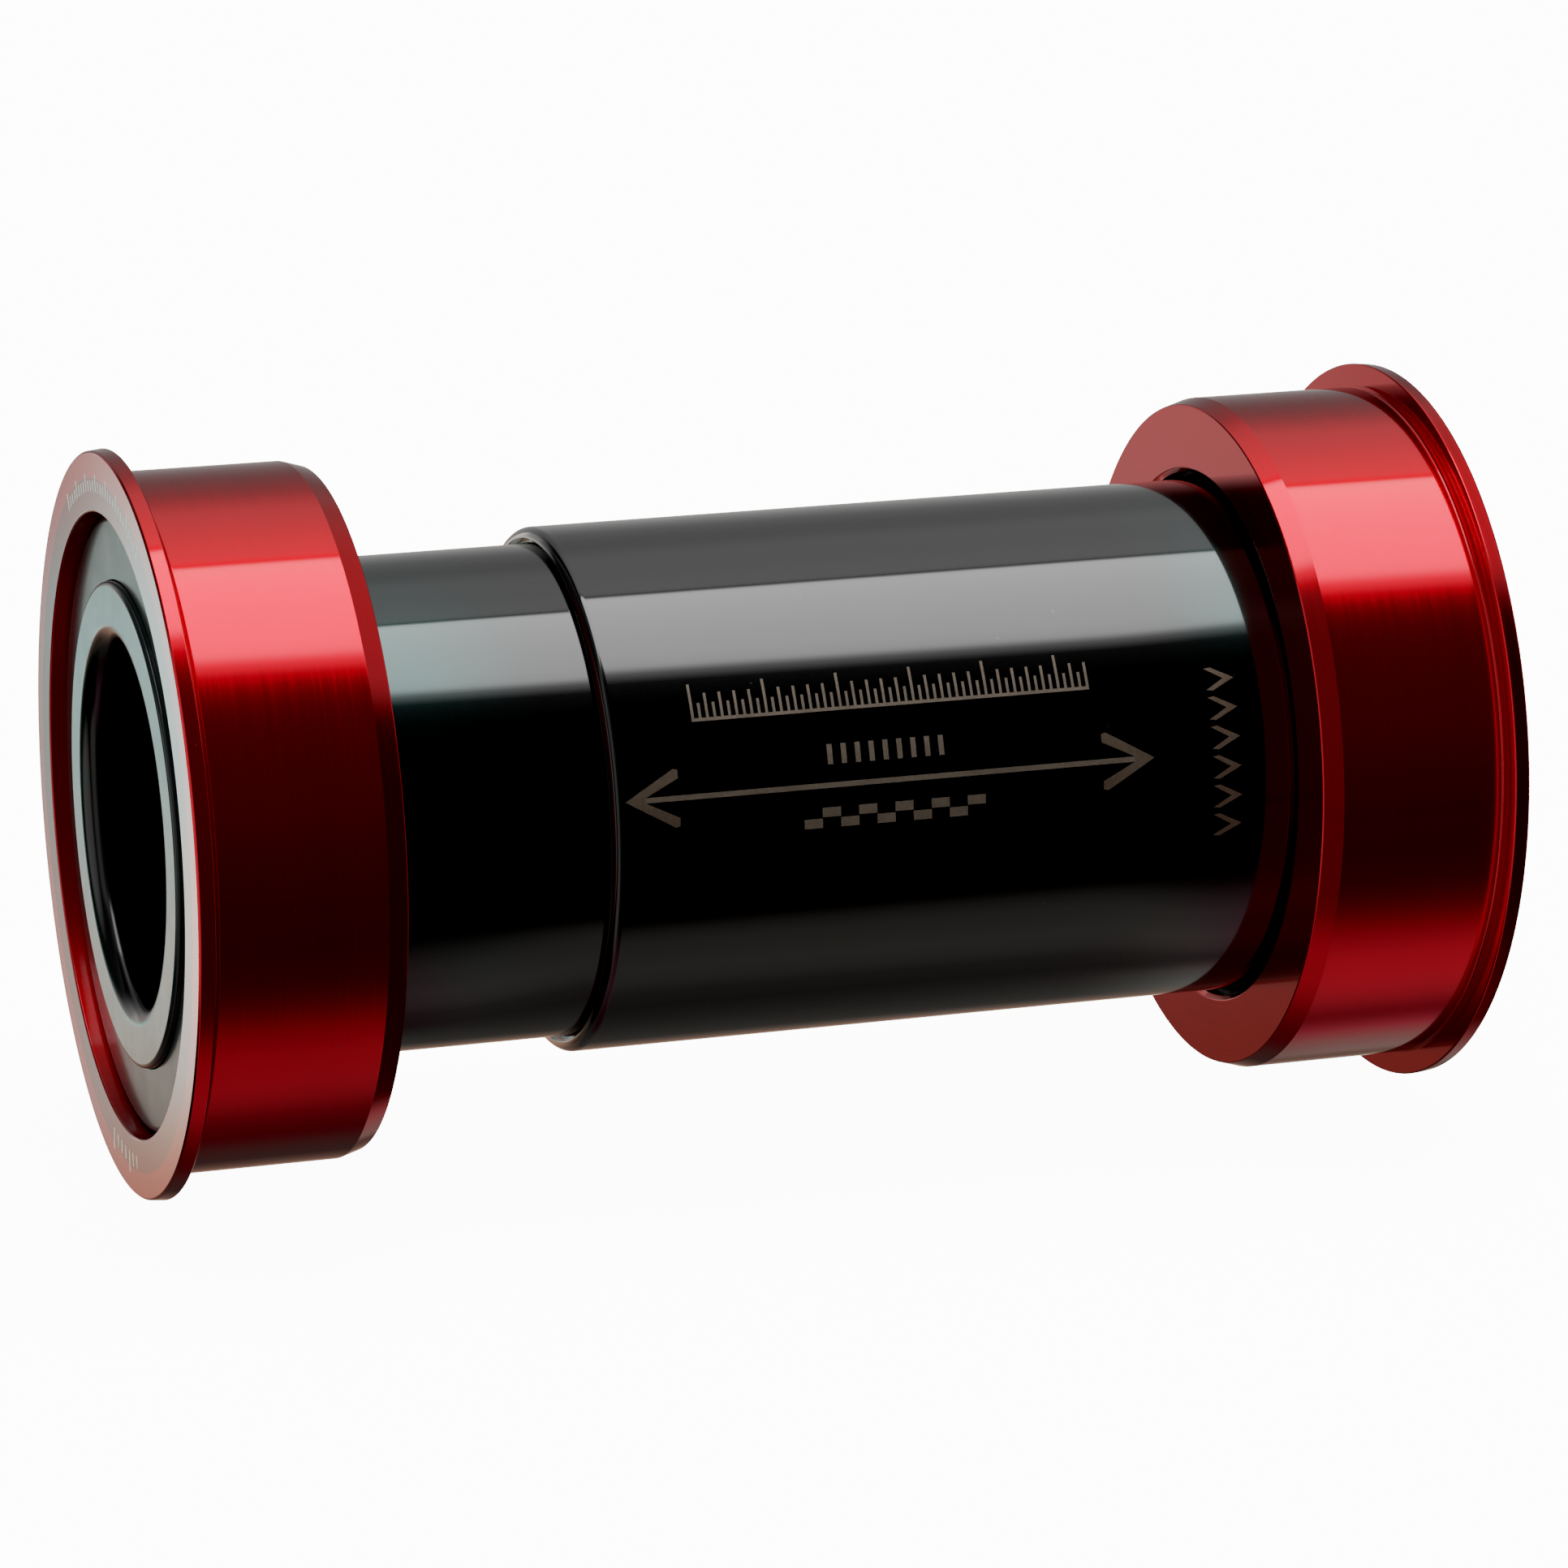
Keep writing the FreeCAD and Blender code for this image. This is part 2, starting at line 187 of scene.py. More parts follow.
class Nodes:
    """Short calls for a material's or world's node tree."""

    def __init__(self, tree):
        self.tree = tree

    def add(self, kind, **settings):
        node = self.tree.nodes.new(kind)
        for key, value in settings.items():
            setattr(node, key, value)
        return node

    def feed(self, socket, value):
        if isinstance(value, bpy.types.NodeSocket):
            self.tree.links.new(value, socket)
        else:
            socket.default_value = value

    def math(self, operation, first, second=0.0, third=0.0):
        node = self.add("ShaderNodeMath", operation=operation)
        for socket, value in zip(node.inputs, (first, second, third)):
            self.feed(socket, value)
        return node.outputs[0]

    def times(self, first, *others):
        for other in others:
            first = self.math("MULTIPLY", first, other)
        return first

    def plus(self, first, second):
        return self.math("ADD", first, second)

    def minus(self, first, second):
        return self.math("SUBTRACT", first, second)

    def between(self, value, start, end, low=0.0, high=1.0):
        """Smooth step of value from start to end, onto low to high."""
        node = self.add("ShaderNodeMapRange", interpolation_type="SMOOTHSTEP")
        for socket, given in zip(node.inputs, (value, start, end, low, high)):
            self.feed(socket, given)
        return node.outputs[0]

    def window(self, value, rise, fall):
        """Product of two smooth steps, each given as between's own arguments."""
        return self.times(self.between(value, *rise), self.between(value, *fall))

    def mix(self, factor, first, second):
        """Colour from first to second; each is a socket or an (r, g, b) triple."""
        node = self.add("ShaderNodeMix", data_type="RGBA")
        self.feed(node.inputs["Factor"], factor)
        self.feed(node.inputs[6], (*first, 1.0) if isinstance(first, tuple) else first)
        self.feed(node.inputs[7], (*second, 1.0) if isinstance(second, tuple) else second)
        return node.outputs[2]

    def noise(self, vector, scale, detail=2.0, roughness=0.5):
        node = self.add("ShaderNodeTexNoise")
        self.feed(node.inputs["Vector"], vector)
        for key, value in (("Scale", scale), ("Detail", detail), ("Roughness", roughness)):
            node.inputs[key].default_value = value
        return node.outputs[0]

    def vector(self, x, y, z):
        node = self.add("ShaderNodeCombineXYZ")
        for socket, value in zip(node.inputs, (x, y, z)):
            self.feed(socket, value)
        return node.outputs[0]

    def bump(self, height, strength, distance):
        node = self.add("ShaderNodeBump")
        node.inputs["Strength"].default_value = strength
        node.inputs["Distance"].default_value = distance
        self.feed(node.inputs["Height"], height)
        return node.outputs[0]


def new_material(name, **constants):
    """A Principled material with its constant sockets set."""
    material = bpy.data.materials.new(name)
    material.use_nodes = True
    nodes = Nodes(material.node_tree)
    shader = material.node_tree.nodes["Principled BSDF"]
    for key, value in constants.items():
        shader.inputs[key.replace("_", " ")].default_value = value
    return material, nodes, shader


def places(nodes):
    """Sockets for a surface point: the point, its distance from the axis, y and its turn round it."""
    point = nodes.add("ShaderNodeTexCoord").outputs["Object"]
    parts = nodes.add("ShaderNodeSeparateXYZ")
    nodes.feed(parts.inputs[0], point)
    x, y, z = parts.outputs
    radius = nodes.math("SQRT", nodes.plus(nodes.times(x, x), nodes.times(z, z)))
    return point, radius, y, nodes.math("ARCTAN2", z, x)


NOISE_SPAN = (0.3, 0.7)                     # where most of one noise's values lie
BLEND_SPAN = (0.35, 0.65)                   # and those of two noises averaged
ROUND_FINENESS = 0.35                       # how much a streak changes on its way round


def turned_streaks(nodes, radius, y, turn, fineness):
    """Noise drawn out round the axis, as a lathe tool leaves it."""
    slow = nodes.times(nodes.math("SINE", turn), ROUND_FINENESS)
    across = nodes.times(radius, fineness)
    along = nodes.times(y, fineness)
    return nodes.noise(nodes.vector(across, along, slow), scale=1.0, detail=3.0, roughness=0.6)


SPECK_EDGE = (0.10, 0.05)                   # a speck's soft rim, in cells from its middle


def dust(nodes, point, cell, amount):
    """Sparse soft specks, as a mask from 0 to 1."""
    cells = nodes.add("ShaderNodeTexVoronoi")
    nodes.feed(cells.inputs["Vector"], point)
    cells.inputs["Scale"].default_value = 1 / cell
    speck = nodes.between(cells.outputs["Distance"], *SPECK_EDGE)
    picked = nodes.add("ShaderNodeSeparateColor")
    nodes.feed(picked.inputs[0], cells.outputs["Color"])
    chosen = nodes.math("GREATER_THAN", picked.outputs[0], 1 - amount)
    return nodes.times(speck, chosen)


RECESS_RIM = (22.8 * MM, 22.7 * MM)         # a cup's recess begins over these radii
RECESS_FLOOR = (40 * MM, 41 * MM)           # and over these distances from the middle
RECESS_PAINTED_SHADE = 0.62                         # its painted shade: its colour there, as a share of the deep tone
RECESS_ROUGHNESS = 0.25                     # what it adds to the roughness
THIN_FROM, THIN_TO = 20 * MM, 30 * MM       # where a thinning dye fades, from the sleeve's middle
SLEEVE_MIDDLE = 1.5 * MM
DUST_CELL = 1.1 * MM
DUSTY_CELLS = 0.05                          # share of the cells that hold a speck


def shaded_rough_recess(nodes, radius, y):
    """1 inside a cup's outer recess, where the cut is less smooth and painted shade darkens the colour,
    and 0 elsewhere.
    """
    within = nodes.between(radius, *RECESS_RIM)
    outboard = nodes.between(nodes.math("ABSOLUTE", y), *RECESS_FLOOR)
    return nodes.times(within, outboard)


def anodised(
    name, tone, deep_tone, dust_tone, edge_tint, base_roughness, coat_roughness, coat_ior, thin_tone=None
):
    """Turned aluminium under a clear, dyed oxide layer: coloured metal below, a clear sheen above.

    Where thin_tone is given, the dye thins to it towards the ends of the sleeve."""
    material, nodes, shader = new_material(
        name, Metallic=1.0, Specular_Tint=(*edge_tint, 1.0),
        Coat_Weight=1.0, Coat_Roughness=coat_roughness, Coat_IOR=coat_ior,
    )
    point, radius, y, turn = places(nodes)
    streaks = turned_streaks(nodes, radius, y, turn, 5200.0)
    patches = nodes.noise(point, scale=160.0, detail=3.0)
    blend = nodes.plus(nodes.times(streaks, 0.5), nodes.times(patches, 0.5))
    colour = nodes.mix(nodes.between(blend, *BLEND_SPAN), deep_tone, tone)
    specks = dust(nodes, point, DUST_CELL, DUSTY_CELLS)
    colour = nodes.mix(nodes.times(specks, 0.6), colour, dust_tone)
    recess_rough_and_shaded = shaded_rough_recess(nodes, radius, y)
    # Painted shade: the colour is darkened inside the cup's recess.
    colour = nodes.mix(recess_rough_and_shaded, colour, tuple(RECESS_PAINTED_SHADE * part for part in deep_tone))
    if thin_tone:
        from_middle = nodes.math("ABSOLUTE", nodes.minus(y, SLEEVE_MIDDLE))
        colour = nodes.mix(nodes.between(from_middle, THIN_FROM, THIN_TO), colour, thin_tone)
    nodes.feed(shader.inputs["Base Color"], colour)
    rough = nodes.plus(nodes.times(nodes.minus(streaks, 0.5), 0.10), base_roughness)
    rough = nodes.plus(rough, nodes.times(recess_rough_and_shaded, RECESS_ROUGHNESS))
    nodes.feed(shader.inputs["Roughness"], nodes.plus(rough, nodes.times(specks, 0.3)))
    nodes.feed(shader.inputs["Normal"], nodes.bump(streaks, strength=0.10, distance=0.01 * MM))
    return material


red_anodised = anodised(
    "red_anodised", tone=(0.95, 0.0, 0.004), deep_tone=(0.88, 0.0, 0.003), dust_tone=(0.5, 0.12, 0.11),
    edge_tint=(0.28, 0.0, 0.0), base_roughness=0.17, coat_roughness=0.06, coat_ior=1.45,
)
black_anodised = anodised(
    "black_anodised", tone=(0.0060, 0.0060, 0.0060), deep_tone=(0.0048, 0.0050, 0.0050),
    dust_tone=(0.07, 0.07, 0.065), edge_tint=(1.0, 1.0, 1.0),
    base_roughness=0.14, coat_roughness=0.04, coat_ior=1.57, thin_tone=(0.004, 0.020, 0.018),
)

BORE_PAINTED_SHADE = (13.2 * MM, 12.3 * MM)          # the radii over which painted shade turns a bush's colour black into its bore


def plastic(name, tone, pale_tone, ior, roughness, grain, streak_strength):
    """Black filled plastic: fine turning rings, a little mottling, a soft sheen, and painted shade that
    turns the colour black into the bore.
    """
    material, nodes, shader = new_material(name, IOR=ior)
    point, radius, y, turn = places(nodes)
    streaks = turned_streaks(nodes, radius, y, turn, 3600.0)
    mottle = nodes.noise(point, scale=grain, detail=4.0, roughness=0.6)
    colour = nodes.mix(nodes.between(mottle, *NOISE_SPAN), tone, pale_tone)
    bore_painted_shade = nodes.between(radius, *BORE_PAINTED_SHADE)
    # Painted shade: the colour goes black down the bore.
    nodes.feed(shader.inputs["Base Color"], nodes.mix(bore_painted_shade, colour, (0.001, 0.001, 0.001)))
    uneven = nodes.plus(nodes.times(nodes.minus(mottle, 0.5), 0.08), roughness)
    nodes.feed(shader.inputs["Roughness"], uneven)
    nodes.feed(shader.inputs["Normal"], nodes.bump(streaks, strength=streak_strength, distance=0.02 * MM))
    return material


bush_polymer = plastic(
    "bush_polymer", tone=(0.008, 0.019, 0.018), pale_tone=(0.011, 0.025, 0.024),
    ior=1.5, roughness=0.17, grain=420.0, streak_strength=0.03,
)
shield_polymer = plastic(
    "shield_polymer", tone=(0.010, 0.023, 0.022), pale_tone=(0.014, 0.030, 0.029),
    ior=1.7, roughness=0.25, grain=300.0, streak_strength=0.005,
)


def engraved_material(name, tone, pale_tone, metallic=0.35, roughness=0.45):
    """Laser-marked aluminium: the bare, slightly scorched metal under the removed finish."""
    material, nodes, shader = new_material(name, Metallic=metallic)
    point = places(nodes)[0]
    hatch = nodes.noise(point, scale=5200.0, detail=2.0, roughness=0.7)
    cloud = nodes.noise(point, scale=500.0, detail=3.0, roughness=0.5)
    blend = nodes.plus(nodes.times(hatch, 0.5), nodes.times(cloud, 0.5))
    nodes.feed(shader.inputs["Base Color"], nodes.mix(nodes.between(blend, *BLEND_SPAN), tone, pale_tone))
    uneven = nodes.between(hatch, *NOISE_SPAN, roughness, roughness + 0.15)
    nodes.feed(shader.inputs["Roughness"], uneven)
    nodes.feed(shader.inputs["Normal"], nodes.bump(hatch, strength=0.3, distance=0.01 * MM))
    return material


engraved_pale = engraved_material("engraved_pale", (0.20, 0.155, 0.115), (0.27, 0.215, 0.165))
engraved_brown = engraved_material("engraved_brown", (0.15, 0.105, 0.07), (0.19, 0.14, 0.10))
engraved_flange = engraved_material(
    "engraved_flange", (0.52, 0.62, 0.60), (0.62, 0.72, 0.70), metallic=1.0, roughness=0.12
)


def fine_metal(name, tone, roughness, fineness):
    """Ground or polished hard metal or ceramic with a faint ground pattern."""
    material, nodes, shader = new_material(name, Metallic=1.0)
    _, radius, y, turn = places(nodes)
    streaks = turned_streaks(nodes, radius, y, turn, fineness)
    darker = tuple(0.85 * part for part in tone)
    nodes.feed(shader.inputs["Base Color"], nodes.mix(streaks, darker, tone))
    uneven = nodes.between(streaks, *NOISE_SPAN, roughness * 0.8, roughness * 1.2)
    nodes.feed(shader.inputs["Roughness"], uneven)
    nodes.feed(shader.inputs["Normal"], nodes.bump(streaks, strength=0.08, distance=0.01 * MM))
    return material


def moulded(name, tone, roughness, grain):
    """Moulded rubber, plastic or ceramic: even colour with a fine skin texture."""
    material, nodes, shader = new_material(name)
    point = places(nodes)[0]
    skin = nodes.noise(point, scale=grain, detail=3.0, roughness=0.6)
    paler = tuple(min(1.0, 1.35 * part) for part in tone)
    nodes.feed(shader.inputs["Base Color"], nodes.mix(nodes.between(skin, *NOISE_SPAN), tone, paler))
    uneven = nodes.between(skin, *NOISE_SPAN, roughness - 0.06, roughness + 0.06)
    nodes.feed(shader.inputs["Roughness"], uneven)
    nodes.feed(shader.inputs["Normal"], nodes.bump(skin, strength=0.10, distance=0.01 * MM))
    return material


HIDDEN_FINISHES = {
    "race": fine_metal("bearing_steel", (0.62, 0.62, 0.64), roughness=0.16, fineness=6000.0),
    "balls": moulded("ceramic_ball", (0.045, 0.045, 0.050), roughness=0.12, grain=900.0),
    "cage": moulded("cage_polymer", (0.40, 0.32, 0.20), roughness=0.42, grain=1500.0),
    "seal": moulded("seal_rubber", (0.020, 0.021, 0.022), roughness=0.50, grain=1800.0),
    "o_ring": moulded("o_ring_rubber", (0.006, 0.006, 0.006), roughness=0.60, grain=1800.0),
}

# ---------------------------------------------------------------- pieces

# For each kind of turned piece: its material, the slot it comes from, and the round on its edges.
TURNED = {
    "cup": (red_anodised, "red_anodised", 0.12 * MM),
    "sleeve": (black_anodised, "black_anodised", 0.05 * MM),
    "spindle_bush": (bush_polymer, "bush_polymer", 0.08 * MM),
    "dust_shield": (shield_polymer, "shield_polymer", 0.08 * MM),
}

bodies = frame["record"]["behaviour"]["bodies"]
body_of = {node: body for body, members in bodies.items() for node in members}

for node, body in sorted(body_of.items()):
    for ending, (material, slot_name, edge_round) in TURNED.items():
        if node.endswith(ending):
            piece = lathe(node + "_finished", softened(section(node), edge_round))
            piece.data.materials.append(material)
            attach(piece, body)
            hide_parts(node)
    for ending, material in HIDDEN_FINISHES.items():
        if node.endswith(ending):
            carried = frame["nodes"][node]
            for slot in carried.material_slots:
                slot.material = material

# ---------------------------------------------------------------- laser marks

SLEEVE_PROUD = 0.006 * MM           # the top of a mark above the sleeve
FLANGE_PROUD = 0.003 * MM           # and above a flange
MARK_DEPTH = 0.06 * MM              # and its foot below it
MARK_STEP = 0.35 * MM               # longest flat run across a curved surface

sleeve_radius = max(radius for radius, y in section("outer_sleeve"))
MARK_TURN = math.radians(11.9)      # row angle of the arrow's line


def plates(name, outlines, place, material, body, proud=SLEEVE_PROUD):
    """Thin solid plates from flat outlines in millimetres, laid on a surface by place(u, v, lift)."""
    mesh = bmesh.new()
    for outline in outlines:
        mesh.faces.new([mesh.verts.new((u * MM, v * MM, 0)) for u, v in outline])
    bmesh.ops.recalc_face_normals(mesh, faces=mesh.faces[:])
    for face in mesh.faces:
        face.normal_update()
        if face.normal.z < 0:
            face.normal_flip()
    bmesh.ops.triangulate(mesh, faces=mesh.faces[:])
    low = min(v.co.y for v in mesh.verts)
    high = max(v.co.y for v in mesh.verts)
    level = low + MARK_STEP
    while level < high:
        geometry = mesh.verts[:] + mesh.edges[:] + mesh.faces[:]
        bmesh.ops.bisect_plane(mesh, geom=geometry, dist=1e-8, plane_co=(0, level, 0), plane_no=(0, 1, 0))
        level += MARK_STEP
    top = bmesh.ops.extrude_face_region(mesh, geom=mesh.faces[:])
    for item in top["geom"]:
        if isinstance(item, bmesh.types.BMVert):
            item.co.z = proud
    for vertex in mesh.verts:
        if vertex.co.z == 0:
            vertex.co.z = -MARK_DEPTH
    for vertex in mesh.verts:
        vertex.co = place(vertex.co.x, vertex.co.y, vertex.co.z)
    bmesh.ops.recalc_face_normals(mesh, faces=mesh.faces[:])
    data = bpy.data.meshes.new(name)
    mesh.to_mesh(data)
    mesh.free()
    data.materials.append(material)
    piece = bpy.data.objects.new(name, data)
    bpy.context.scene.collection.objects.link(piece)
    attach(piece, body)


def on_sleeve(along, up, lift):
    """A point on the outer sleeve: along its length, and up round it from the arrow's line."""
    angle = MARK_TURN + up / sleeve_radius
    radius = sleeve_radius + lift
    return Vector((radius * math.cos(angle), along, radius * math.sin(angle)))


def bar(left, right, low, high):
    """The corners of a rectangle."""
    return [(left, low), (right, low), (right, high), (left, high)]


# Sizes of the marks are in millimetres.
ARROW_LEFT, ARROW_RIGHT = -15.05, 21.11     # the two tips
SHAFT = 0.17                                # half the width of the arrow's line
NECK = 1.35                                 # from a tip to where its head meets the line
HEAD = ((3.3, 1.90), (3.6, 1.82), (3.6, 1.28), (NECK, SHAFT))   # half a head, back from its tip and up


def arrow_head(tip, into):
    """One arrow head; into is +1 or -1, the way from the tip towards the line."""
    mirrored = [(back, -up) for back, up in reversed(HEAD)]
    return [(tip + into * back, up) for back, up in [(0.0, 0.0), *HEAD, *mirrored]]


plates(
    "sleeve_arrow_heads",
    [arrow_head(ARROW_LEFT, 1), arrow_head(ARROW_RIGHT, -1)],
    on_sleeve, engraved_brown, "non_drive_side",
)
plates(
    "sleeve_arrow_line",
    [bar(ARROW_LEFT + NECK, ARROW_RIGHT - NECK, -SHAFT, SHAFT)],
    on_sleeve, engraved_pale, "non_drive_side",
)

SCALE_LEFT, SCALE_STEPS, SCALE_STEP = -10.0, 54, 0.5
SCALE_WIDTH = 0.18                          # of one stroke
SCALE_BASE, SCALE_LINE = 4.83, 5.05         # the two edges of the base line
SCALE_FOOT = 4.95                           # where the strokes are measured from
LONG, MIDDLING, SHORT = 2.4, 1.75, 1.1      # every tenth stroke, every second one, and the others


def scale_comb():
    """The scale as one outline: strokes up from a base line."""
    comb = []
    for step in reversed(range(SCALE_STEPS + 1)):
        height = LONG if step % 10 == 0 else (MIDDLING if step % 2 == 0 else SHORT)
        left = SCALE_LEFT + SCALE_STEP * step - SCALE_WIDTH / 2
        right = left + SCALE_WIDTH
        top = SCALE_FOOT + height
        comb += [(right, SCALE_LINE), (right, top), (left, top), (left, SCALE_LINE)]
    comb[0] = (comb[0][0], SCALE_BASE)
    comb[-1] = (comb[-1][0], SCALE_BASE)
    return comb


plates("sleeve_scale", [scale_comb()], on_sleeve, engraved_pale, "non_drive_side")

DASHES, DASH_STEP, DASH_WIDTH = 9, 0.95, 0.35
DASH_LEFT, DASH_LOW, DASH_HIGH = -1.3, 1.35, 2.65
dashes = []
for i in range(DASHES):
    left = DASH_LEFT + DASH_STEP * i
    dashes.append(bar(left, left + DASH_WIDTH, DASH_LOW, DASH_HIGH))
plates("sleeve_dashes", dashes, on_sleeve, engraved_pale, "non_drive_side")

BLOCKS, BLOCK_WIDTH, BLOCK_HEIGHT = 10, 1.24, 0.62
BLOCK_LEFT, LOW_FOOT, HIGH_FOOT = -3.1, -2.75, -2.05
blocks = []
for i in range(BLOCKS):
    left = BLOCK_LEFT + BLOCK_WIDTH * i
    foot = HIGH_FOOT if i % 2 else LOW_FOOT
    blocks.append(bar(left, left + BLOCK_WIDTH, foot, foot + BLOCK_HEIGHT))
plates("sleeve_blocks", blocks, on_sleeve, engraved_pale, "non_drive_side")

CHEVRONS, CHEVRON_STEP, CHEVRON_LOWEST = 6, 1.95, -4.9
CHEVRON_ARM = ((25.2, 0.72), (25.65, 0.78))     # the end of an arm, along and out from the middle
CHEVRON_TIP, CHEVRON_NOTCH = 27.2, 26.45


def chevron(middle):
    """A chevron pointing at the cup, centred at that height on the sleeve."""
    upper = [(along, middle + up) for along, up in CHEVRON_ARM]
    lower = [(along, middle - up) for along, up in reversed(CHEVRON_ARM)]
    return [*upper, (CHEVRON_TIP, middle), *lower, (CHEVRON_NOTCH, middle)]


chevrons = [chevron(CHEVRON_LOWEST + CHEVRON_STEP * i) for i in range(CHEVRONS)]
plates("sleeve_chevrons", chevrons, on_sleeve, engraved_brown, "non_drive_side")

TICK_CIRCLE = 22.4                          # the radius where the flange ticks have their own width
LONG_EVERY = 4                              # one tick in this many is a long one
SHORT_TICK = 0.6                            # length of the others, as a share of it


def on_flange(outer_y, facing):
    """Lays a mark on a flange's outer face: u runs round the arc, v outwards from the axis."""
    def place(around, out, lift):
        angle = around / (TICK_CIRCLE * MM)
        return Vector((out * math.cos(angle), outer_y + facing * lift, out * math.sin(angle)))
    return place


def arc_ticks(angles, low, high, width):
    """Radial ticks at angles in degrees, between two radii."""
    marks = []
    for count, angle in enumerate(angles):
        middle = math.radians(angle) * TICK_CIRCLE
        top = high if count % LONG_EVERY == 0 else low + SHORT_TICK * (high - low)
        marks.append(bar(middle - width / 2, middle + width / 2, low, top))
    return marks


fine_arc = arc_ticks(range(66, 123, 2), 21.85, 23.0, 0.22)
coarse_arc = arc_ticks(range(-97, -78, 3), 21.7, 23.2, 0.30)
for side, edge, facing in (("drive_side", 0, -1), ("non_drive_side", 1, 1)):
    face_of = on_flange(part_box(side + "_cup")[edge].y, facing)
    plates(
        side + "_flange_ticks", fine_arc + coarse_arc,
        face_of, engraved_flange, side, FLANGE_PROUD,
    )

# ---------------------------------------------------------------- stage, light and camera

FLOOR_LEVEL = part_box("drive_side_cup")[0].z
FLOOR_RADIUS, DOME_RADIUS = 2.4, 2.45       # metres
RINGS, SPOKES = 16, 96                      # faces up and round the dome
WHITE_PAPER = (1, 1, 0.99, 1)


def stage_mesh(name, vertices, faces, material):
    """A part of the set, which neither lights the object nor shows in its reflections."""
    mesh = bpy.data.meshes.new(name)
    mesh.from_pydata(vertices, [], faces)
    mesh.materials.append(material)
    mesh.shade_smooth()
    thing = bpy.data.objects.new(name, mesh)
    bpy.context.scene.collection.objects.link(thing)
    thing.visible_glossy = False
    thing.visible_diffuse = False
    thing.visible_transmission = False
    thing.visible_shadow = False


def ring_of(radius, height):
    """Points on a level circle."""
    angles = [math.tau * i / SPOKES for i in range(SPOKES)]
    return [(radius * math.cos(angle), radius * math.sin(angle), height) for angle in angles]


def make_floor():
    """A bright round floor, faintly uneven, that only the camera sees."""
    material, nodes, shader = new_material(
        "floor_paint", Roughness=0.9, Emission_Strength=6.2, Emission_Color=WHITE_PAPER
    )
    tone = nodes.noise(nodes.add("ShaderNodeTexCoord").outputs["Object"], scale=3.0, detail=2.0)
    nodes.feed(shader.inputs["Base Color"], nodes.mix(tone, (0.78, 0.78, 0.775), (0.82, 0.82, 0.815)))
    stage_mesh("floor", ring_of(FLOOR_RADIUS, FLOOR_LEVEL), [tuple(range(SPOKES))], material)


def make_backdrop():
    """A bright dome over the floor, that only the camera sees."""
    material = new_material(
        "backdrop_paint", Base_Color=(0, 0, 0, 1), Specular_IOR_Level=0,
        Emission_Strength=7.6, Emission_Color=WHITE_PAPER,
    )[0]
    vertices, faces = [], []
    for ring in range(RINGS):
        lift = math.radians(90) * ring / RINGS
        vertices += ring_of(DOME_RADIUS * math.cos(lift), FLOOR_LEVEL + DOME_RADIUS * math.sin(lift))
    for ring in range(RINGS - 1):
        for spoke in range(SPOKES):
            ahead = (spoke + 1) % SPOKES
            first, second = ring * SPOKES, (ring + 1) * SPOKES
            faces.append((first + spoke, first + ahead, second + ahead, second + spoke))
    faces.append(tuple(range((RINGS - 1) * SPOKES, RINGS * SPOKES)))
    stage_mesh("backdrop", vertices, faces, material)


make_floor()
make_backdrop()

# The studio: a long softbox overhead, a paler room behind, a dim fill from below and dark in front.
# Each pair is an angle and the level of light there. Angles are in degrees round the spindle axis,
# from +X over the top.
STUDIO_PEAK = 5.8
STUDIO = (
    (0, 0.024), (16, 0.036), (50, 0.045), (61, 0.09), (65, 1.5), (68, 5.2), (74, 5.6), (104, 5.8),
    (104.8, 0.3), (106, 0.3), (107, 1.25), (112, 1.15), (119, 0.95), (128, 0.74), (142, 0.52),
    (160, 0.42), (182, 0.62), (193, 0.80), (201, 0.70), (211, 0.24), (225, 0.06), (250, 0.06),
    (260, 0.10), (268, 0.20), (276, 0.26), (290, 0.24), (299, 0.15), (307, 0.055), (317, 0.022),
    (330, 0.016), (360, 0.024),
)
BAND_SLANT = 31.0                   # degrees that a band slants per unit of aside
SLEEVES_FROM = 0.24                 # how far aside the light lies that the sleeves show to the camera
FAR_CUP_FROM = (0.33, 0.37)         # and the light that the far cup shows
LAMP_LEVEL, GAP_LEVEL = 0.33, 0.01
PANEL_LEVEL = 1.9
NEAR_END_LEVEL, FAR_END_LEVEL = 0.85, 0.2
WHITE, CREAM, TEAL = (1.0, 1.0, 1.0), (1.0, 0.94, 0.88), (0.74, 1.0, 0.96)
PALE_CREAM, DEEP_CREAM = (1.0, 0.965, 0.88), (1.0, 0.95, 0.86)
ROSE, ORANGE = (1.0, 0.35, 0.48), (1.0, 0.60, 0.43)

world = bpy.data.worlds.new("studio")
bpy.context.scene.world = world
world.use_nodes = True
sky = Nodes(world.node_tree)
background = world.node_tree.nodes["Background"]

# The direction a ray leaves in: its three shares, its turn in degrees, and how far it leans sideways.
direction = sky.add("ShaderNodeSeparateXYZ")
sky.feed(direction.inputs[0], sky.add("ShaderNodeTexCoord").outputs["Generated"])
way_x, way_y, way_z = direction.outputs
part_turn = sky.math("FRACT", sky.math("DIVIDE", sky.math("ARCTAN2", way_z, way_x), math.tau))
turn = sky.times(part_turn, 360.0)
aside = sky.math("ABSOLUTE", way_y)
low_front = sky.window(turn, (235, 250), (320, 300))


def taken_from(level, share):
    """The level with a share of it, from 0 to 1, taken away."""
    return sky.times(level, sky.minus(1.0, share))


def blended(share, first, second):
    """The first level where share is 0, and the second where it is 1."""
    return sky.plus(taken_from(first, share), sky.times(second, share))


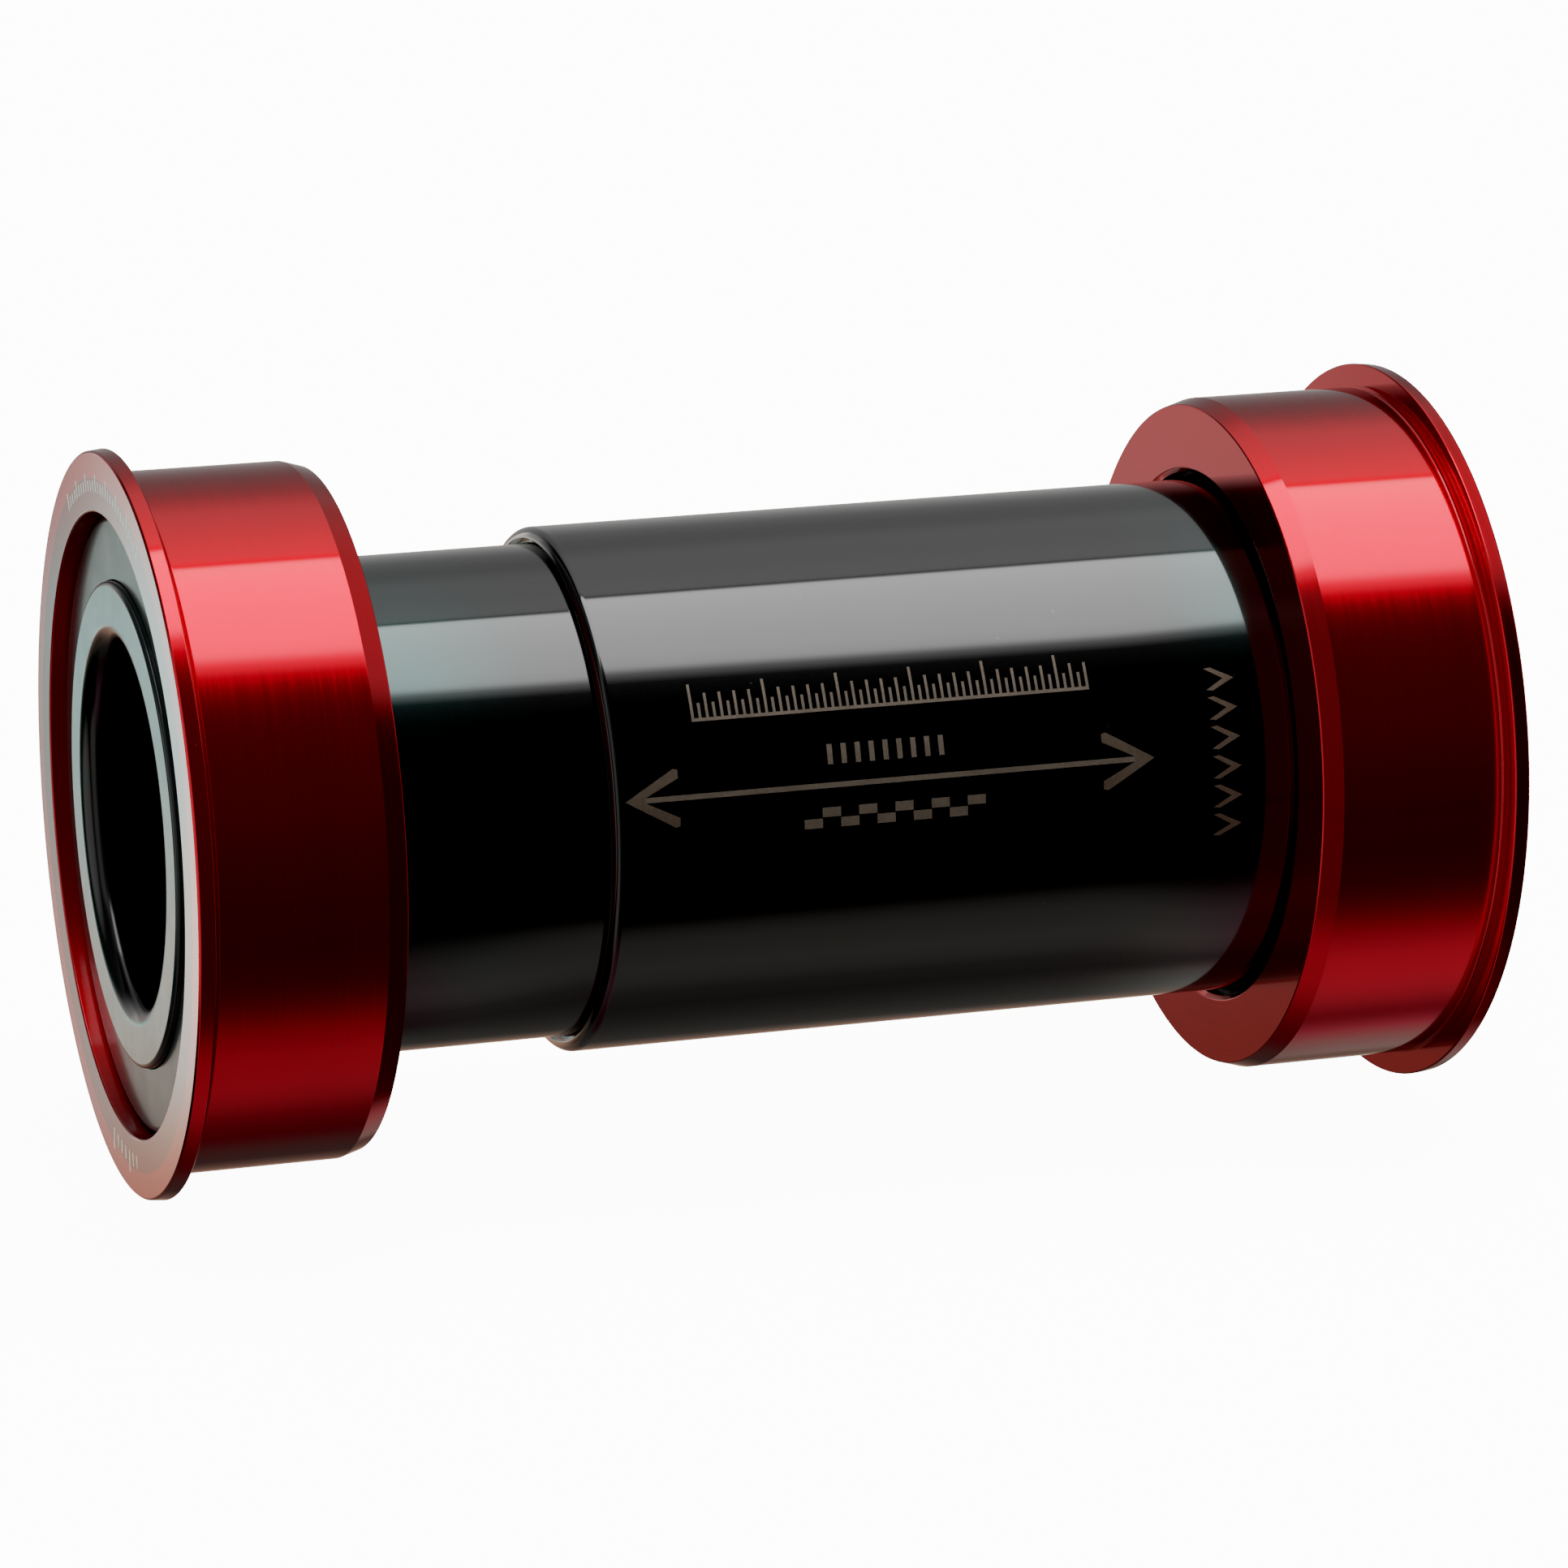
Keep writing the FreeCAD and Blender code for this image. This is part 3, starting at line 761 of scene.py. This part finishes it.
def studio_level():
    """The table of levels, with its bands slanting round the object as they run out to the sides."""
    slant = sky.times(sky.minus(aside, SLEEVES_FROM), BAND_SLANT)
    slant = sky.minus(slant, sky.between(aside, 0.34, 0.37, 0.0, 3.0))
    slant = sky.times(slant, sky.plus(sky.between(turn, 100, 80), low_front))
    on_sleeves = sky.window(aside, (SLEEVES_FROM, 0.27), (0.355, 0.335))
    slant = sky.minus(slant, sky.times(on_sleeves, low_front, 12.0))
    ramp = sky.add("ShaderNodeValToRGB")
    stops = ramp.color_ramp.elements
    while len(stops) < len(STUDIO):
        stops.new(0.5)
    for stop, (degrees, level) in zip(stops, STUDIO):
        stop.position = degrees / 360
        stop.color = (level / STUDIO_PEAK,) * 3 + (1,)
    sky.feed(ramp.inputs[0], sky.math("FRACT", sky.math("DIVIDE", sky.plus(turn, slant), 360.0)))
    return sky.times(ramp.outputs[0], STUDIO_PEAK)


def with_fills(level):
    """More light low down to the sides and the far end, and less overhead towards the near end."""
    low_far = sky.times(low_front, sky.between(aside, *FAR_CUP_FROM, 0.0, 0.5))
    level = sky.times(level, sky.plus(low_far, 1.0))
    below_far = sky.times(sky.window(turn, (214, 226), (257, 244)), sky.between(way_y, *FAR_CUP_FROM))
    level = sky.plus(level, sky.times(below_far, 0.3))
    overhead = sky.window(turn, (50, 64), (174, 150))
    return taken_from(level, sky.times(overhead, sky.between(way_y, -0.19, -0.26), 0.95))


def with_sides(level):
    """A dark gap on each side with one faint lamp in it, and dimmer light further out."""
    gap = sky.window(aside, (0.43, 0.49), (0.92, 0.82))
    lamp = sky.plus(sky.times(sky.window(turn, (48, 66), (180, 130)), LAMP_LEVEL), GAP_LEVEL)
    level = blended(gap, level, lamp)
    level = sky.times(level, sky.between(aside, 0.7, 0.9, 1.0, 0.5))
    return sky.times(level, sky.between(way_y, -0.45, -0.60, 1.0, 0.35))


def with_rear(level):
    """A shaded room low behind the near end, with one narrow bright panel in it."""
    shade = sky.window(turn, (176, 188), (225, 210))
    shade = sky.times(shade, sky.between(way_y, -0.22, -0.30))
    shade = sky.times(shade, sky.between(turn, 195, 198.5, 0.12, 0.70))
    shade = sky.math("MAXIMUM", shade, sky.between(way_y, -0.36, -0.385, 0.0, 0.40))
    level = taken_from(level, shade)
    panel = sky.window(turn, (172, 186), (204, 199))
    panel = sky.times(panel, sky.between(turn, 200, 197.2, 0.1, 1.0))
    panel = sky.times(panel, sky.window(way_y, (-0.193, -0.206), (-0.28, -0.21)))
    return sky.plus(level, sky.times(panel, PANEL_LEVEL))


def with_front_strips(level):
    """Two faint upright strips in front, and a little less light above the room at the rear."""
    strips = sky.plus(
        sky.window(way_y, (0.02, -0.14), (-0.32, -0.22, 0.0, 0.06)),
        sky.window(way_y, (-0.30, -0.42), (-0.80, -0.65, 0.0, 0.5)),
    )
    level = sky.plus(level, sky.times(strips, sky.between(way_x, 0.15, 0.45)))
    top_rear = sky.times(
        sky.between(way_z, -0.245, -0.215, 0.0, 0.4),
        sky.between(way_y, -0.27, -0.23),
        sky.between(way_x, -0.6, -0.85),
    )
    return taken_from(level, top_rear)


def with_ends(level):
    """Along the spindle the room has its own even light, brighter at the near end."""
    at_ends = sky.between(aside, 0.80, 0.95)
    return blended(at_ends, level, sky.between(way_y, -0.5, 0.5, NEAR_END_LEVEL, FAR_END_LEVEL))


def studio_tone():
    """White from above, and cream, teal, rose and orange patches below."""
    tone = sky.mix(sky.between(way_z, -0.218, -0.24), CREAM, TEAL)
    tone = sky.mix(sky.between(way_z, -0.258, -0.29), tone, PALE_CREAM)
    tone = sky.mix(sky.between(way_z, -0.31, -0.36), tone, DEEP_CREAM)
    over_cups = sky.minus(1.0, sky.window(aside, (0.23, 0.25), (0.36, 0.345)))
    over_cups = sky.times(over_cups, sky.between(aside, 0.50, 0.43))
    tone = sky.mix(sky.times(over_cups, low_front), tone, ROSE)
    height = sky.plus(sky.times(way_y, 0.165), sky.plus(way_z, 0.033))
    warm = sky.times(sky.between(height, -0.306, -0.33), sky.between(way_x, -0.6, -0.85))
    tone = sky.mix(warm, tone, ORANGE)
    return sky.mix(sky.between(way_z, 0.1, -0.15), WHITE, tone)


light_level = studio_level()
for change in (with_fills, with_sides, with_rear, with_front_strips, with_ends):
    light_level = change(light_level)
sky.feed(background.inputs["Strength"], light_level)
sky.feed(background.inputs["Color"], studio_tone())

view_settings = bpy.context.scene.view_settings
view_settings.view_transform = "Standard"
view_settings.look = "None"

# A photograph's response: straight for the darks, and a long shoulder for everything bright.
WHITE_LEVEL = 8.0
BLACK_LEVEL = 0.003
RESPONSE = ((0.35, 0.35), (0.5, 0.45), (1.0, 0.62), (2.0, 0.76), (4.0, 0.89), (6.0, 0.96))
view_settings.use_curve_mapping = True
response = view_settings.curve_mapping
response.white_level = (WHITE_LEVEL,) * 3
response.black_level = (BLACK_LEVEL,) * 3
for seen, shown in RESPONSE:
    response.curves[3].points.new(seen / WHITE_LEVEL, shown)
for point in response.curves[3].points:
    point.handle_type = "VECTOR"
response.update()

# The photo's own camera, as it was fitted to the outlines of the object.
LENS, SENSOR = 153.35, 36.0                 # both in millimetres, as Blender has them
AIM = Vector((0.28, 0.99, -0.95)) * MM
AZIMUTH, ELEVATION, DISTANCE = math.radians(72.25), math.radians(15.49), 448.8 * MM
NEAREST, FARTHEST = 0.01, 6                 # of what it shows, in metres

camera_data = bpy.data.cameras.new("camera")
camera_data.sensor_width = SENSOR
camera_data.lens = LENS
camera_data.clip_start = NEAREST
camera_data.clip_end = FARTHEST
camera = bpy.data.objects.new("camera", camera_data)
bpy.context.scene.collection.objects.link(camera)
level_away = Vector((math.sin(AZIMUTH), -math.cos(AZIMUTH), 0)) * math.cos(ELEVATION)
away = level_away + Vector((0, 0, math.sin(ELEVATION)))
camera.location = AIM + away * DISTANCE
camera.rotation_mode = "QUATERNION"
camera.rotation_quaternion = (-away).to_track_quat("-Z", "Y")
bpy.context.scene.camera = camera

bpy.context.view_layer.update()
